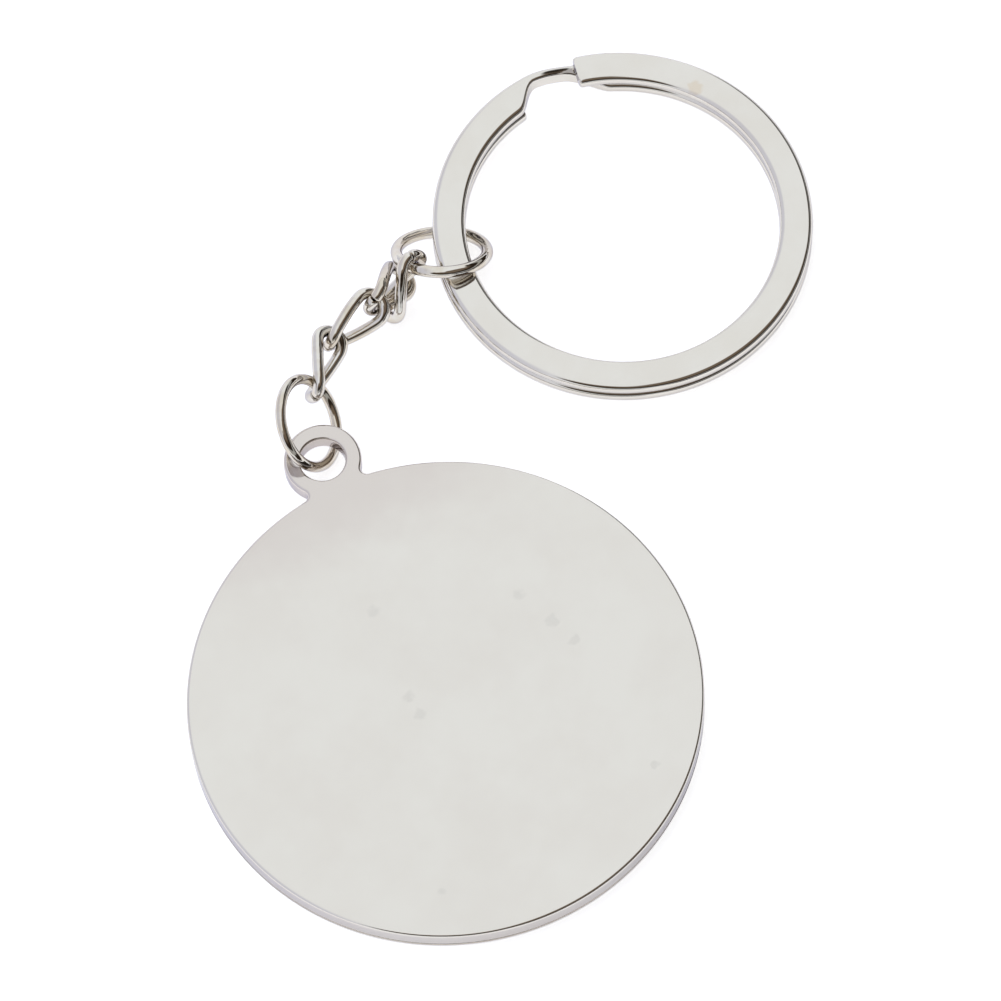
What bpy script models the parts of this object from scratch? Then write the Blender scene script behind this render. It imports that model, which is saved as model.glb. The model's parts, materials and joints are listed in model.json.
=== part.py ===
"""Football crest keyring, lying on a table with its plain back up.

A round medallion with an eyelet carries a short curb chain: a lower jump ring, four twisted
links and an upper jump ring, which holds a flat split ring for the keys. Every loop is a
solid of its own that turns in its neighbours. Metres, +Z up. The origin is the centre of
the medallion's flat back, and +Y runs from there towards the eyelet.
"""
import math

import bmesh
import bpy
from mathutils import Euler, Matrix, Vector

# Medallion, a flat disc with its eyelet in one piece
DISC_DIAMETER = 0.0400
DISC_THICKNESS = 0.0020
DISC_EDGE_ROUND = 0.00025
EYELET_DIAMETER = 0.0061
EYELET_HOLE_DIAMETER = 0.0036
EYELET_THICKNESS = 0.0016
EYELET_EDGE_ROUND = 0.00025
EYELET_REACH = 0.00245  # from the disc's rim out to the centre of the hole
NECK_FILLET = 0.0005  # radius of the hollow corner where the eyelet grows out of the disc

# Crest side, face down: metal lines stand between recessed cells of enamel
RIM_WIDTH = 0.0016
LINE_WIDTH = 0.0005
CELL_DEPTH = 0.00045
ENAMEL_GAP = 0.00005  # between a fill and the walls and floor of its cell
ENAMEL_DROP = 0.00008  # how far a fill's face lies below the metal lines
BALL_SHARE = 0.40  # the ball's radius, of the radius inside the rim, like the next four
SHIELD_TOP_SHARE = 0.66
SHIELD_HALF_WIDTH_SHARE = 0.62
SHIELD_POINT_SHARE = 0.88
SHIELD_SHOULDER_SHARE = 0.10  # height where the straight side turns into the curved one
BALL_CENTRE_PANEL_SHARE = 0.39  # of the ball's radius

# Curb chain
LINK_WIRE = 0.00095
LINK_LENGTH = 0.0065
LINK_WIDTH = 0.00355
LINK_TWIST = math.radians(90)
LINK_SEAM_SHARES = {"a": 0.04, "b": 0.47, "c": 0.47, "d": 0.46}  # near a link's ends
WIRE_GAP = 0.00008  # between two loops where one bears on the other
SEAM_GAP = 0.00012  # between the two cut ends of a bent loop

# Jump rings
LOWER_JUMP_WIRE = 0.00085
LOWER_JUMP_DIAMETER = 0.00785
LOWER_JUMP_SEAM_SHARE = 0.98
UPPER_JUMP_WIRE = 0.00095
UPPER_JUMP_DIAMETER = 0.0081
UPPER_JUMP_SEAM_SHARE = 0.965

# Split ring, one flat wire wound into two coils
SPLIT_DIAMETER = 0.0300
SPLIT_WIRE_WIDTH = 0.0026
SPLIT_WIRE_THICKNESS = 0.0011
SPLIT_WIRE_EDGE_ROUND = 0.00048
SPLIT_CORNER_ROUND = 0.0003  # at the corners of a free end, seen from above
SPLIT_COIL_GAP = 0.0001
SPLIT_UPPER_END = math.radians(80)  # where the upper coil's free end lies
SPLIT_LOWER_END = math.radians(101.5)
SPLIT_STEP_START = math.radians(95.5)  # where the wire begins to step down to the lower coil
SPLIT_STEP = math.radians(19)
SPLIT_END_LIFT = 0.00015  # the sprung free end stands clear of the step below it
SPLIT_END_LIFT_ARC = math.radians(30)

# Notch ground into the wire's inner side, so that a key can be pushed onto the coils
NOTCH_DEPTH_SHARE = 0.57  # of the wire's width
NOTCH_EDGE_ROUND = 0.0003
NOTCH_WALL_SLOPE = 0.00025  # how much farther the notch reaches out at the top than below
NOTCH_START = math.radians(104.5)
NOTCH_FULL = math.radians(94)
NOTCH_LEAVE = math.radians(84)
NOTCH_END = math.radians(68)

# How the keyring lies: angles read from the photograph, in degrees
LOWER_JUMP_TURN = (0, 55, -31)
LINK_TURNS = {"d": (76, -8, 48), "c": (66, -8, 16), "b": (63, 34, 33), "a": (114, -43, 30)}
UPPER_JUMP_HEADING = 62
SPLIT_LIFT_HEADING = math.radians(164)  # the side that the upper jump ring holds up
MEDALLION_LIFT_SHARE = 0.87  # lift under the eyelet, of the lower jump ring's wire
SPLIT_LIFT_SHARE = 1.38  # lift of the split ring's raised side, of the upper jump ring's wire
UPPER_JUMP_ROOM = 0.00105  # play of the two coils between the ring's lower and upper run

# Where each loop bears on the one before it, as shares of the way round each of the two
LOWER_JUMP_PLACE_SHARES = (0.075, 0.8586, 0.41)  # from the hole's centre, of the ring's mean radius
LINK_D_SHARES = (0.274, 0.359)
LINK_C_SHARES = (0.893, 0.579)
LINK_B_SHARES = (0.887, 0.628)
LINK_A_SHARES = (0.740, 0.510)
UPPER_JUMP_SHARES = (0.982, 0.404)
SPLIT_HOLD_ANGLE = math.radians(153.1)  # round the split ring, to the jump ring's lowest point
SPLIT_HOLD_SHARE = 0.135  # from the band's middle out to that point, of the band's width

# Facets
DISC_STEPS = 96
EYELET_STEPS = 40
WIRE_SIDES = 10
LINK_STEPS = 44
JUMP_STEPS = 48
SPLIT_STEPS = 120
ARC_STEPS = 8
EDGE_STEPS = 3
CUT_OVERRUN = 0.001

NICKEL = (0.78, 0.77, 0.75)
WORN_NICKEL = (0.72, 0.71, 0.69)
NAVY = (0.03, 0.06, 0.20)
GREEN = (0.04, 0.22, 0.09)
WHITE = (0.85, 0.85, 0.83)
BLACK = (0.02, 0.02, 0.02)


def clear_scene():
    for item in list(bpy.data.objects):
        bpy.data.objects.remove(item, do_unlink=True)


def material(name, color, metallic, roughness):
    made = bpy.data.materials.new(name)
    made.use_nodes = True
    shader = made.node_tree.nodes["Principled BSDF"]
    shader.inputs["Base Color"].default_value = (*color, 1)
    shader.inputs["Metallic"].default_value = metallic
    shader.inputs["Roughness"].default_value = roughness
    return made


def skinned(name, rings, made_of=None):
    """A closed solid: each ring of points is joined to the next, and both ends are capped."""
    shape = bmesh.new()
    loops = [[shape.verts.new(point) for point in ring] for ring in rings]
    count = len(loops[0])
    for near, far in zip(loops, loops[1:]):
        for i in range(count):
            j = (i + 1) % count
            shape.faces.new((near[i], near[j], far[j], far[i]))
    shape.faces.new(loops[0][::-1])
    shape.faces.new(loops[-1])
    bmesh.ops.recalc_face_normals(shape, faces=shape.faces)
    mesh = bpy.data.meshes.new(name)
    shape.to_mesh(mesh)
    shape.free()
    mesh.shade_smooth()
    mesh.set_sharp_from_angle(angle=math.radians(40))
    item = bpy.data.objects.new(name, mesh)
    bpy.context.collection.objects.link(item)
    if made_of:
        mesh.materials.append(made_of)
    return item


def turned(name, profile, steps, centre=(0, 0), made_of=None):
    """A solid turned about a vertical axis from (radius, height) pairs."""
    rings = []
    for radius, height in profile:
        angles = [math.tau * k / steps for k in range(steps)]
        rings.append([(centre[0] + radius * math.cos(a), centre[1] + radius * math.sin(a), height)
                      for a in angles])
    return skinned(name, rings, made_of)


def rounded_profile(radius, low, high, edge):
    """Profile of a disc whose two edges are rounded."""
    profile = []
    for height, start in ((low + edge, -90), (high - edge, 0)):
        for k in range(4):
            angle = math.radians(start + 30 * k)
            profile.append((radius - edge + edge * math.cos(angle), height + edge * math.sin(angle)))
    return profile


def arc(radius, first, last, steps=ARC_STEPS, centre=(0, 0)):
    """Points along a circle, from one angle in degrees to another, both ends included."""
    angles = [math.radians(first + (last - first) * k / steps) for k in range(steps + 1)]
    return [(centre[0] + radius * math.cos(a), centre[1] + radius * math.sin(a)) for a in angles]


def mirrored(outline):
    return [(-x, y) for x, y in reversed(outline)]


def inset(outline, distance):
    """The outline drawn in by a distance. Its points run counter-clockwise."""
    drawn = []
    for before, here, after in zip(outline[-1:] + outline[:-1], outline, outline[1:] + outline[:1]):
        here = Vector(here)
        into = (here - Vector(before)).normalized()
        out = (Vector(after) - here).normalized()
        side = Vector((-into.y, into.x)) + Vector((-out.y, out.x))
        drawn.append(here + side * (2 * distance / side.length_squared))
    return drawn


def prism(name, outline, low, high, made_of=None):
    return skinned(name, [[(x, y, height) for x, y in outline] for height in (low, high)], made_of)


def combine(item, other, operation):
    """Add the other shape to the item, or take it out."""
    other.hide_render = True
    other.display_type = "WIRE"
    boolean = item.modifiers.new(other.name, "BOOLEAN")
    boolean.operation = operation
    boolean.solver = "EXACT"
    boolean.object = other


def crest_cells():
    """Outlines of the enamel cells, drawn along the middle of the metal lines between them."""
    field = DISC_DIAMETER / 2 - RIM_WIDTH + LINE_WIDTH / 2
    ball = field * BALL_SHARE
    top = field * SHIELD_TOP_SHARE
    side = field * SHIELD_HALF_WIDTH_SHARE
    point = field * SHIELD_POINT_SHARE
    shoulder = field * SHIELD_SHOULDER_SHARE
    # Each lower side is an arc that starts upright at the shoulder and ends at the point
    drop = point + shoulder
    bend = (side ** 2 + drop ** 2) / (2 * side)
    sweep = math.degrees(math.asin(drop / bend))
    flank = arc(bend, 180, 180 + sweep, centre=(bend - side, shoulder))
    field_left = arc(field, 90, 270, 3 * ARC_STEPS) + flank[::-1] + [(-side, top), (0, top)]
    shield_left = [(0, top), (-side, top)] + flank + arc(ball, 270, 90, 2 * ARC_STEPS)
    cells = {
        "field_left": (field_left, "navy"),
        "field_right": (mirrored(field_left), "navy"),
        "shield_left": (shield_left, "green"),
        "shield_right": (mirrored(shield_left), "green"),
    }
    middle = ball * BALL_CENTRE_PANEL_SHARE
    seam_end = (ball + middle) / 2
    cells["ball_centre"] = ([arc(middle, 90 + 72 * k, 90 + 72 * k, 1)[0] for k in range(5)], "black")
    for k in range(5):
        corner = 90 + 72 * k
        dark = arc(seam_end, corner, corner, 1)[:1] + arc(ball, corner - 17, corner + 17, 4)
        pale = (
            arc(middle, corner + 72, corner, 1) + arc(seam_end, corner, corner, 1)[:1]
            + arc(ball, corner + 17, corner + 55, 5) + arc(seam_end, corner + 72, corner + 72, 1)[:1]
        )
        cells[f"ball_edge_{k + 1}"] = (dark, "black")
        cells[f"ball_panel_{k + 1}"] = (pale, "white")
    return cells


def neck_outline():
    """The stretch between disc and eyelet, with a hollow round corner on each side."""
    disc = DISC_DIAMETER / 2
    eyelet = EYELET_DIAMETER / 2
    apart = disc + EYELET_REACH
    # The corner's circle touches both others from outside, so all three distances are known
    to_disc = disc + NECK_FILLET
    to_eyelet = eyelet + NECK_FILLET
    y = (to_disc ** 2 - to_eyelet ** 2 + apart ** 2) / (2 * apart)
    x = math.sqrt(to_disc ** 2 - y ** 2)
    on_disc = math.degrees(math.atan2(-y, -x)) % 360
    on_eyelet = math.degrees(math.atan2(apart - y, -x)) % 360
    right = arc(NECK_FILLET, on_disc, on_eyelet, ARC_STEPS, (x, y))
    return right + mirrored(right)


def make_medallion(metal, enamels):
    """The disc with its eyelet, and one enamel fill in each cell of the hidden crest side."""
    front = -DISC_THICKNESS
    hole_centre = (0, DISC_DIAMETER / 2 + EYELET_REACH)
    body = turned("medallion", rounded_profile(DISC_DIAMETER / 2, front, 0, DISC_EDGE_ROUND),
                  DISC_STEPS, made_of=metal)
    eyelet = turned("eyelet_body", rounded_profile(EYELET_DIAMETER / 2, -EYELET_THICKNESS, 0,
                                                   EYELET_EDGE_ROUND), EYELET_STEPS, hole_centre)
    neck = prism("eyelet_neck", neck_outline(), -EYELET_THICKNESS, 0)
    for grown in (eyelet, neck):
        combine(body, grown, "UNION")
    hole = EYELET_HOLE_DIAMETER / 2
    flare = hole + EYELET_EDGE_ROUND
    bore = [(flare + CUT_OVERRUN, -EYELET_THICKNESS - CUT_OVERRUN), (flare, -EYELET_THICKNESS),
            (hole, EYELET_EDGE_ROUND - EYELET_THICKNESS), (hole, -EYELET_EDGE_ROUND), (flare, 0),
            (flare + CUT_OVERRUN, CUT_OVERRUN)]
    tools = [eyelet, neck, turned("eyelet_bore", bore, EYELET_STEPS, hole_centre)]
    combine(body, tools[-1], "DIFFERENCE")
    fills = []
    for name, (outline, enamel) in crest_cells().items():
        cell = inset(outline, LINE_WIDTH / 2)
        floor = front + CELL_DEPTH
        tools.append(prism(f"cell_{name}", cell, front - CUT_OVERRUN, floor))
        combine(body, tools[-1], "DIFFERENCE")
        fills.append(prism(f"enamel_{name}", inset(cell, ENAMEL_GAP), front + ENAMEL_DROP,
                           floor - ENAMEL_GAP, enamels[enamel]))
    for item in tools + fills:
        item.parent = body
    return body


class Loop:
    """A bent wire loop: its route, its wire, how it is turned, its centre and its hinge."""

    def __init__(self, name, wire, turn, route):
        self.name = name
        self.wire = wire
        self.turn = Euler([math.radians(angle) for angle in turn], "XYZ").to_matrix()
        self.route = route
        self.centre = Vector((0, 0, 0))
        self.pivot = Vector((0, 0, 0))
        self.axis = Vector((0, 0, 1))

    def reach(self, share):
        """From the loop's centre to its wire, as the loop lies."""
        return self.turn @ self.route(share)[0]

    def along(self, share):
        """The wire's direction there."""
        return self.turn @ heading(self.route, share)

    def bear_on(self, holder, holder_share, share, side, turns_in_own_wire):
        """Seat this loop on its holder's wire, with the small gap between loops that bear.

        It hinges about one of the two wires where they cross: the holder's or its own.
        """
        held_at = holder.centre + holder.reach(holder_share)
        across = holder.along(holder_share).cross(self.along(share)).normalized()
        bears_at = held_at + side * ((holder.wire + self.wire) / 2 + WIRE_GAP) * across
        self.centre = bears_at - self.reach(share)
        self.pivot = bears_at if turns_in_own_wire else held_at
        self.axis = self.along(share) if turns_in_own_wire else holder.along(holder_share)


def heading(route, share, step=0.001):
    """Direction of a route: the line from just before a point to just after it."""
    return (route(share + step)[0] - route(share - step)[0]).normalized()


def ring_route(radius):
    """Round a circle: the point and the ring's own axis."""
    return lambda share: (
        Vector((radius * math.cos(math.tau * share), radius * math.sin(math.tau * share), 0)),
        Vector((0, 0, 1)),
    )


def link_route(share):
    """Round a link, from its upper end and back: an oval that is twisted about its length."""
    bend = (LINK_WIDTH - LINK_WIRE) / 2
    half = (LINK_LENGTH - LINK_WIRE) / 2
    straight = half - bend
    quarter = math.pi * bend / 2 + straight
    way = (share % 1) * 4 * quarter
    lap, rest = divmod(way, 2 * quarter)
    upper, from_end = (1, rest) if rest <= quarter else (-1, 2 * quarter - rest)
    angle = min(from_end / bend, math.pi / 2)
    run = max(from_end - math.pi * bend / 2, 0)
    # On the way back both the length and the width change sign
    leg = 1 if lap == 0 else -1
    length = leg * upper * (straight + bend * math.cos(angle) - run)
    width = leg * bend * math.sin(angle)
    twist = LINK_TWIST * length / (2 * half)
    point = Vector((length, width * math.cos(twist), -width * math.sin(twist)))
    return point, Vector((0, math.sin(twist), math.cos(twist)))


def make_loop(loop, steps, seam_share, made_of):
    """Sweep a round wire along the loop's route, open at its seam."""
    length = sum((loop.route((k + 1) / steps)[0] - loop.route(k / steps)[0]).length
                 for k in range(steps))
    opening = SEAM_GAP / length
    rings = []
    for k in range(steps + 1):
        share = seam_share + opening / 2 + (1 - opening) * k / steps
        point, flat = loop.route(share)
        along = heading(loop.route, share)
        up = (flat - along * flat.dot(along)).normalized()
        out = along.cross(up)
        angles = [math.tau * side / WIRE_SIDES for side in range(WIRE_SIDES)]
        rings.append([point + (up * math.cos(a) + out * math.sin(a)) * loop.wire / 2
                      for a in angles])
    item = skinned(loop.name, rings, made_of)
    item.rotation_euler = loop.turn.to_euler()
    return item


def ease(share):
    """Rises smoothly from 0 to 1 and stays level outside that."""
    share = min(max(share, 0), 1)
    return share * share * (3 - 2 * share)


def band_section(near, far, low, high, inner_edge, slope):
    """The flat wire's section as (radius, height) pairs, its edges nearly half round.

    The inner side slopes outwards by the given amount from below to the top.
    """
    edge = SPLIT_WIRE_EDGE_ROUND
    corners = (
        (far - edge, low + edge, -90, edge),
        (far - edge, high - edge, 0, edge),
        (near + slope + inner_edge, high - inner_edge, 90, inner_edge),
        (near + inner_edge, low + inner_edge, 180, inner_edge),
    )
    return [point for r, z, start, round_by in corners
            for point in arc(round_by, start, start + 90, EDGE_STEPS, (r, z))]


def make_split_ring(made_of):
    """The flat wire runs clockwise from its upper free end, steps down, and goes round again."""
    outer = SPLIT_DIAMETER / 2
    whole = 2 * math.tau + SPLIT_UPPER_END - SPLIT_LOWER_END
    drop = SPLIT_WIRE_THICKNESS + SPLIT_COIL_GAP
    end_length = SPLIT_CORNER_ROUND / outer
    ways = [0, end_length / 2] + [end_length + (whole - 2 * end_length) * k / SPLIT_STEPS
                                  for k in range(SPLIT_STEPS + 1)] + [whole - end_length / 2, whole]
    rings = []
    for way in ways:
        angle = SPLIT_UPPER_END - way
        # The step and the notch lie one turn on from the upper free end's own angle
        turn = angle + math.tau
        lift = SPLIT_END_LIFT * (1 - ease(way / SPLIT_END_LIFT_ARC))
        low = drop * (1 - ease((SPLIT_STEP_START - turn) / SPLIT_STEP)) + lift
        notch = ease((NOTCH_START - turn) / (NOTCH_START - NOTCH_FULL))
        notch *= ease((turn - NOTCH_END) / (NOTCH_LEAVE - NOTCH_END))
        inner_edge = SPLIT_WIRE_EDGE_ROUND + (NOTCH_EDGE_ROUND - SPLIT_WIRE_EDGE_ROUND) * notch
        # The corners of a free end are rounded off
        from_end = min(way, whole - way) / end_length
        shy = SPLIT_CORNER_ROUND * (1 - math.sqrt(1 - (1 - min(from_end, 1)) ** 2))
        near = outer - SPLIT_WIRE_WIDTH * (1 - NOTCH_DEPTH_SHARE * notch) + shy
        section = band_section(near, outer - shy, low, low + SPLIT_WIRE_THICKNESS, inner_edge,
                               NOTCH_WALL_SLOPE * notch)
        rings.append([(r * math.cos(angle), r * math.sin(angle), z) for r, z in section])
    return skinned("split_ring", rings, made_of)


def hang(item, table, centre, pivot, axis):
    """Parent an item to an empty at its hinge, whose Z lies along the hinge's axis."""
    hinge = bpy.data.objects.new(f"{item.name}_hinge", None)
    bpy.context.collection.objects.link(hinge)
    hinge.parent = table
    hinge.location = pivot
    hinge.rotation_euler = axis.to_track_quat("Z", "Y").to_euler()
    item.parent = hinge
    item.matrix_parent_inverse = hinge.matrix_basis.inverted()
    item.location = centre


def main():
    clear_scene()
    enamels = {
        "navy": material("navy_enamel", NAVY, 0, 0.15),
        "green": material("green_enamel", GREEN, 0, 0.15),
        "white": material("white_enamel", WHITE, 0, 0.15),
        "black": material("black_enamel", BLACK, 0, 0.15),
    }
    medallion = make_medallion(material("medallion_nickel", WORN_NICKEL, 1, 0.25), enamels)

    # The medallion rests on its rim and on the lower jump ring, which lies under the eyelet
    lever = DISC_DIAMETER + EYELET_REACH
    tilt = math.asin(MEDALLION_LIFT_SHARE * LOWER_JUMP_WIRE / lever)
    medallion.rotation_euler = (tilt, 0, 0)
    tilted = Matrix.Rotation(tilt, 3, "X")
    back_height = DISC_DIAMETER / 2 * math.sin(tilt) + DISC_THICKNESS * math.cos(tilt)
    back_centre = Vector((0, -DISC_THICKNESS * math.sin(tilt), back_height))
    table = bpy.data.objects.new("table_level", None)
    bpy.context.collection.objects.link(table)
    table.location = -back_centre
    medallion.parent = table
    medallion.location = back_centre

    # The chain, each loop seated on the one before it
    lower_route = ring_route((LOWER_JUMP_DIAMETER - LOWER_JUMP_WIRE) / 2)
    upper_route = ring_route((UPPER_JUMP_DIAMETER - UPPER_JUMP_WIRE) / 2)
    lower = Loop("lower_jump_ring", LOWER_JUMP_WIRE, LOWER_JUMP_TURN, lower_route)
    links = {key: Loop(f"link_{key}", LINK_WIRE, turn, link_route) for key, turn in LINK_TURNS.items()}
    # The upper jump ring stands so steep that both coils fit between its lower and upper run
    band_height = 2 * SPLIT_WIRE_THICKNESS + SPLIT_COIL_GAP
    rise = band_height + UPPER_JUMP_WIRE + UPPER_JUMP_ROOM
    steepness = math.degrees(math.asin(rise / (UPPER_JUMP_DIAMETER - UPPER_JUMP_WIRE)))
    upper_turn = (0, steepness, UPPER_JUMP_HEADING)
    upper = Loop("upper_jump_ring", UPPER_JUMP_WIRE, upper_turn, upper_route)
    hole = tilted @ Vector((0, DISC_DIAMETER / 2 + EYELET_REACH, -EYELET_THICKNESS / 2)) + back_centre
    lower.pivot = hole
    lower.axis = tilted @ Vector((0, 0, 1))
    lower.centre = hole + Vector(LOWER_JUMP_PLACE_SHARES) * (LOWER_JUMP_DIAMETER - LOWER_JUMP_WIRE) / 2
    links["d"].bear_on(lower, *LINK_D_SHARES, 1, turns_in_own_wire=True)
    links["c"].bear_on(links["d"], *LINK_C_SHARES, 1, turns_in_own_wire=False)
    links["b"].bear_on(links["c"], *LINK_B_SHARES, 1, turns_in_own_wire=True)
    links["a"].bear_on(links["b"], *LINK_A_SHARES, -1, turns_in_own_wire=False)
    upper.bear_on(links["a"], *UPPER_JUMP_SHARES, -1, turns_in_own_wire=True)
    loops = [(lower, JUMP_STEPS, LOWER_JUMP_SEAM_SHARE), (upper, JUMP_STEPS, UPPER_JUMP_SEAM_SHARE)]
    loops += [(link, LINK_STEPS, LINK_SEAM_SHARES[key]) for key, link in links.items()]
    for loop, steps, seam_share in loops:
        item = make_loop(loop, steps, seam_share, material(f"{loop.name}_nickel", NICKEL, 1, 0.1))
        hang(item, table, loop.centre, loop.pivot, loop.axis)

    # The split ring rests on its far side and on the upper jump ring's lowest run, under its band
    lean = math.asin(SPLIT_LIFT_SHARE * UPPER_JUMP_WIRE / SPLIT_DIAMETER)
    hold_radius = (SPLIT_DIAMETER - SPLIT_WIRE_WIDTH) / 2 + SPLIT_HOLD_SHARE * SPLIT_WIRE_WIDTH
    hold = Vector((math.cos(SPLIT_HOLD_ANGLE), math.sin(SPLIT_HOLD_ANGLE), 0))
    centre = upper.centre + upper.reach(0) - hold * hold_radius
    centre.z = SPLIT_DIAMETER / 2 * math.sin(lean)
    split_ring = make_split_ring(material("split_ring_nickel", NICKEL, 1, 0.1))
    low_side = Vector((math.sin(SPLIT_LIFT_HEADING), -math.cos(SPLIT_LIFT_HEADING), 0))
    leaned = Matrix.Rotation(lean, 3, low_side)
    split_ring.rotation_euler = leaned.to_euler()
    hang(split_ring, table, centre, centre, leaned @ Vector((0, 0, 1)))


main()
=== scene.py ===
# %% [markdown]
# # A football crest keyring, seen from its plain back
#
# The real object is a nickel-plated medallion on a short curb chain with a flat split
# ring. It lies crest side down on white card. Almost everything that the photograph shows
# is bright metal, so the look rests on two things: fine, smooth surfaces that bend
# reflections the way the real ones do, and surroundings worth reflecting.
#
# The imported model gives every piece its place. This script dresses each piece with a finer
# surface and a procedural material, and sets up the card, the light and the camera.

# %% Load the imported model
import json
import math

import bmesh
import bpy
from mathutils import Euler, Matrix, Vector


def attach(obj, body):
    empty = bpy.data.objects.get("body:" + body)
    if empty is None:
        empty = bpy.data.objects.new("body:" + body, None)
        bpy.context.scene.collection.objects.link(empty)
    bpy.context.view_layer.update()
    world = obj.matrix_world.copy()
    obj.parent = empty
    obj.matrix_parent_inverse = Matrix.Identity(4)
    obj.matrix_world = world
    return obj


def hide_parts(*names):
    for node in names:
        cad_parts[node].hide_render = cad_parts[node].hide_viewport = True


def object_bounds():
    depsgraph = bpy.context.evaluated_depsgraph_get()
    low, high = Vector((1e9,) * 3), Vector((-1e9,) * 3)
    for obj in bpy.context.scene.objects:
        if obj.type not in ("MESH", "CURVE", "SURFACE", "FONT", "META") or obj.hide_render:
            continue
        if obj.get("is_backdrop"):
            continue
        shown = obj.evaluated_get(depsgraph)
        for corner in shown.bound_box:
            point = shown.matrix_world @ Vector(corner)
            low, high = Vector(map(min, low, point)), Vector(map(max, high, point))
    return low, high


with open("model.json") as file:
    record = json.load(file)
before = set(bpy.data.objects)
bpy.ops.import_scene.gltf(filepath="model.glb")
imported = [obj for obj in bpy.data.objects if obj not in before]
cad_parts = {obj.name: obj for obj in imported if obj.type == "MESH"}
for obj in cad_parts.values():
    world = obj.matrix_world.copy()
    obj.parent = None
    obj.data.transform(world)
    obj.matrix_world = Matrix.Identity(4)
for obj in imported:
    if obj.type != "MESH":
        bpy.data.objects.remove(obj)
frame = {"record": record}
cad_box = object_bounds()
MM = 0.001

# %% [markdown]
# ## The camera
#
# The photograph was taken with a long lens from high in front, a little to the left. The
# camera's place was worked out from the two outlines that are true circles on the real
# object, the medallion and the split ring: an ellipse in a picture tells how far its circle
# is tipped away. A long lens keeps the ellipses nearly free of perspective. Moving the camera
# by eye until the picture looks right would do too, but two solved circles also fix how large
# one part is beside the other.

# %% Camera
IMAGE_WIDTH = 1001
FOCAL_LENGTH_PIXELS = 10000
SENSOR_WIDTH = 36
NEAR_LIMIT = 0.01
CAMERA_PLACE = Vector((-105.165, -299.961, 703.399)) * MM
CAMERA_ELEVATION = math.radians(64.6)
CAMERA_HEADING = math.radians(20.35)
CAMERA_ROLL = math.radians(-5.55)

camera_data = bpy.data.cameras.new("camera")
camera_data.sensor_width = SENSOR_WIDTH
camera_data.lens = SENSOR_WIDTH * FOCAL_LENGTH_PIXELS / IMAGE_WIDTH
camera_data.clip_start = NEAR_LIMIT
camera = bpy.data.objects.new("camera", camera_data)
bpy.context.collection.objects.link(camera)
look = Euler((math.pi / 2 - CAMERA_ELEVATION, 0, -CAMERA_HEADING), "XYZ").to_matrix()
camera.matrix_world = Matrix.LocRotScale(
    CAMERA_PLACE, look @ Matrix.Rotation(CAMERA_ROLL, 3, "Z"), Vector((1, 1, 1)))
bpy.context.scene.camera = camera
bpy.context.scene.view_settings.view_transform = "Standard"
print("lens:", round(camera_data.lens), "mm")

# %% [markdown]
# ## Small tools for nodes
#
# Every finish below is a handful of shader nodes. They could be placed by hand in the shader
# editor; in code they are easier to repeat and to compare. These helpers keep the cells
# short: one adds a node and fills in its sockets, one does arithmetic, one mixes two colours
# and the last starts a material.

# %% Node helpers
def fill_socket(tree, socket, value):
    if isinstance(value, bpy.types.NodeSocket):
        tree.links.new(value, socket)
    else:
        socket.default_value = value


def add_node(tree, kind, **sockets):
    """Add a shader node and set or link its sockets, given by name."""
    node = tree.nodes.new(kind)
    for name, value in sockets.items():
        fill_socket(tree, node.inputs[name.replace("_", " ")], value)
    return node


def math_node(tree, operation, first, second=0.5):
    node = tree.nodes.new("ShaderNodeMath")
    node.operation = operation
    fill_socket(tree, node.inputs[0], first)
    fill_socket(tree, node.inputs[1], second)
    return node.outputs[0]


def mix_colors(tree, share, first, second):
    node = tree.nodes.new("ShaderNodeMix")
    node.data_type = "RGBA"
    fill_socket(tree, node.inputs["Factor"], share)
    # A Mix node has hidden sockets for other kinds of value, so its colours go by number
    fill_socket(tree, node.inputs[6], first)
    fill_socket(tree, node.inputs[7], second)
    return node.outputs[2]


def start_material(name):
    made = bpy.data.materials.new(name)
    made.use_nodes = True
    tree = made.node_tree
    return made, tree, tree.nodes["Principled BSDF"]


print("node helpers ready")

# %% [markdown]
# ## Nickel plate
#
# Nickel is a slightly warm, pale grey metal. A metallic surface shows nothing of its own but
# what it reflects, so its life comes from small things: plating that isn't quite even, a
# faint waviness left by polishing, and fine marks. The colour varies by a few parts in a
# hundred over several millimetres. The waviness is a bump of a few thousandths of its own
# length, because a mirror shows the slightest tilt; the chain's wires, which take dents when
# they are bent, are wavier. Towards its edges round metal reflects more of what is behind it,
# and the tint of the specular keeps that a cool grey. An image texture could carry all this,
# but noise needs no unwrapping, has no seams and stays sharp when the camera comes close.

# %% Nickel
NICKEL = (0.70, 0.67, 0.62)
EDGE_TINT = (0.60, 0.60, 0.68, 1)
WORN_BELOW = 0.38
FRESH_ABOVE = 0.60


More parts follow.
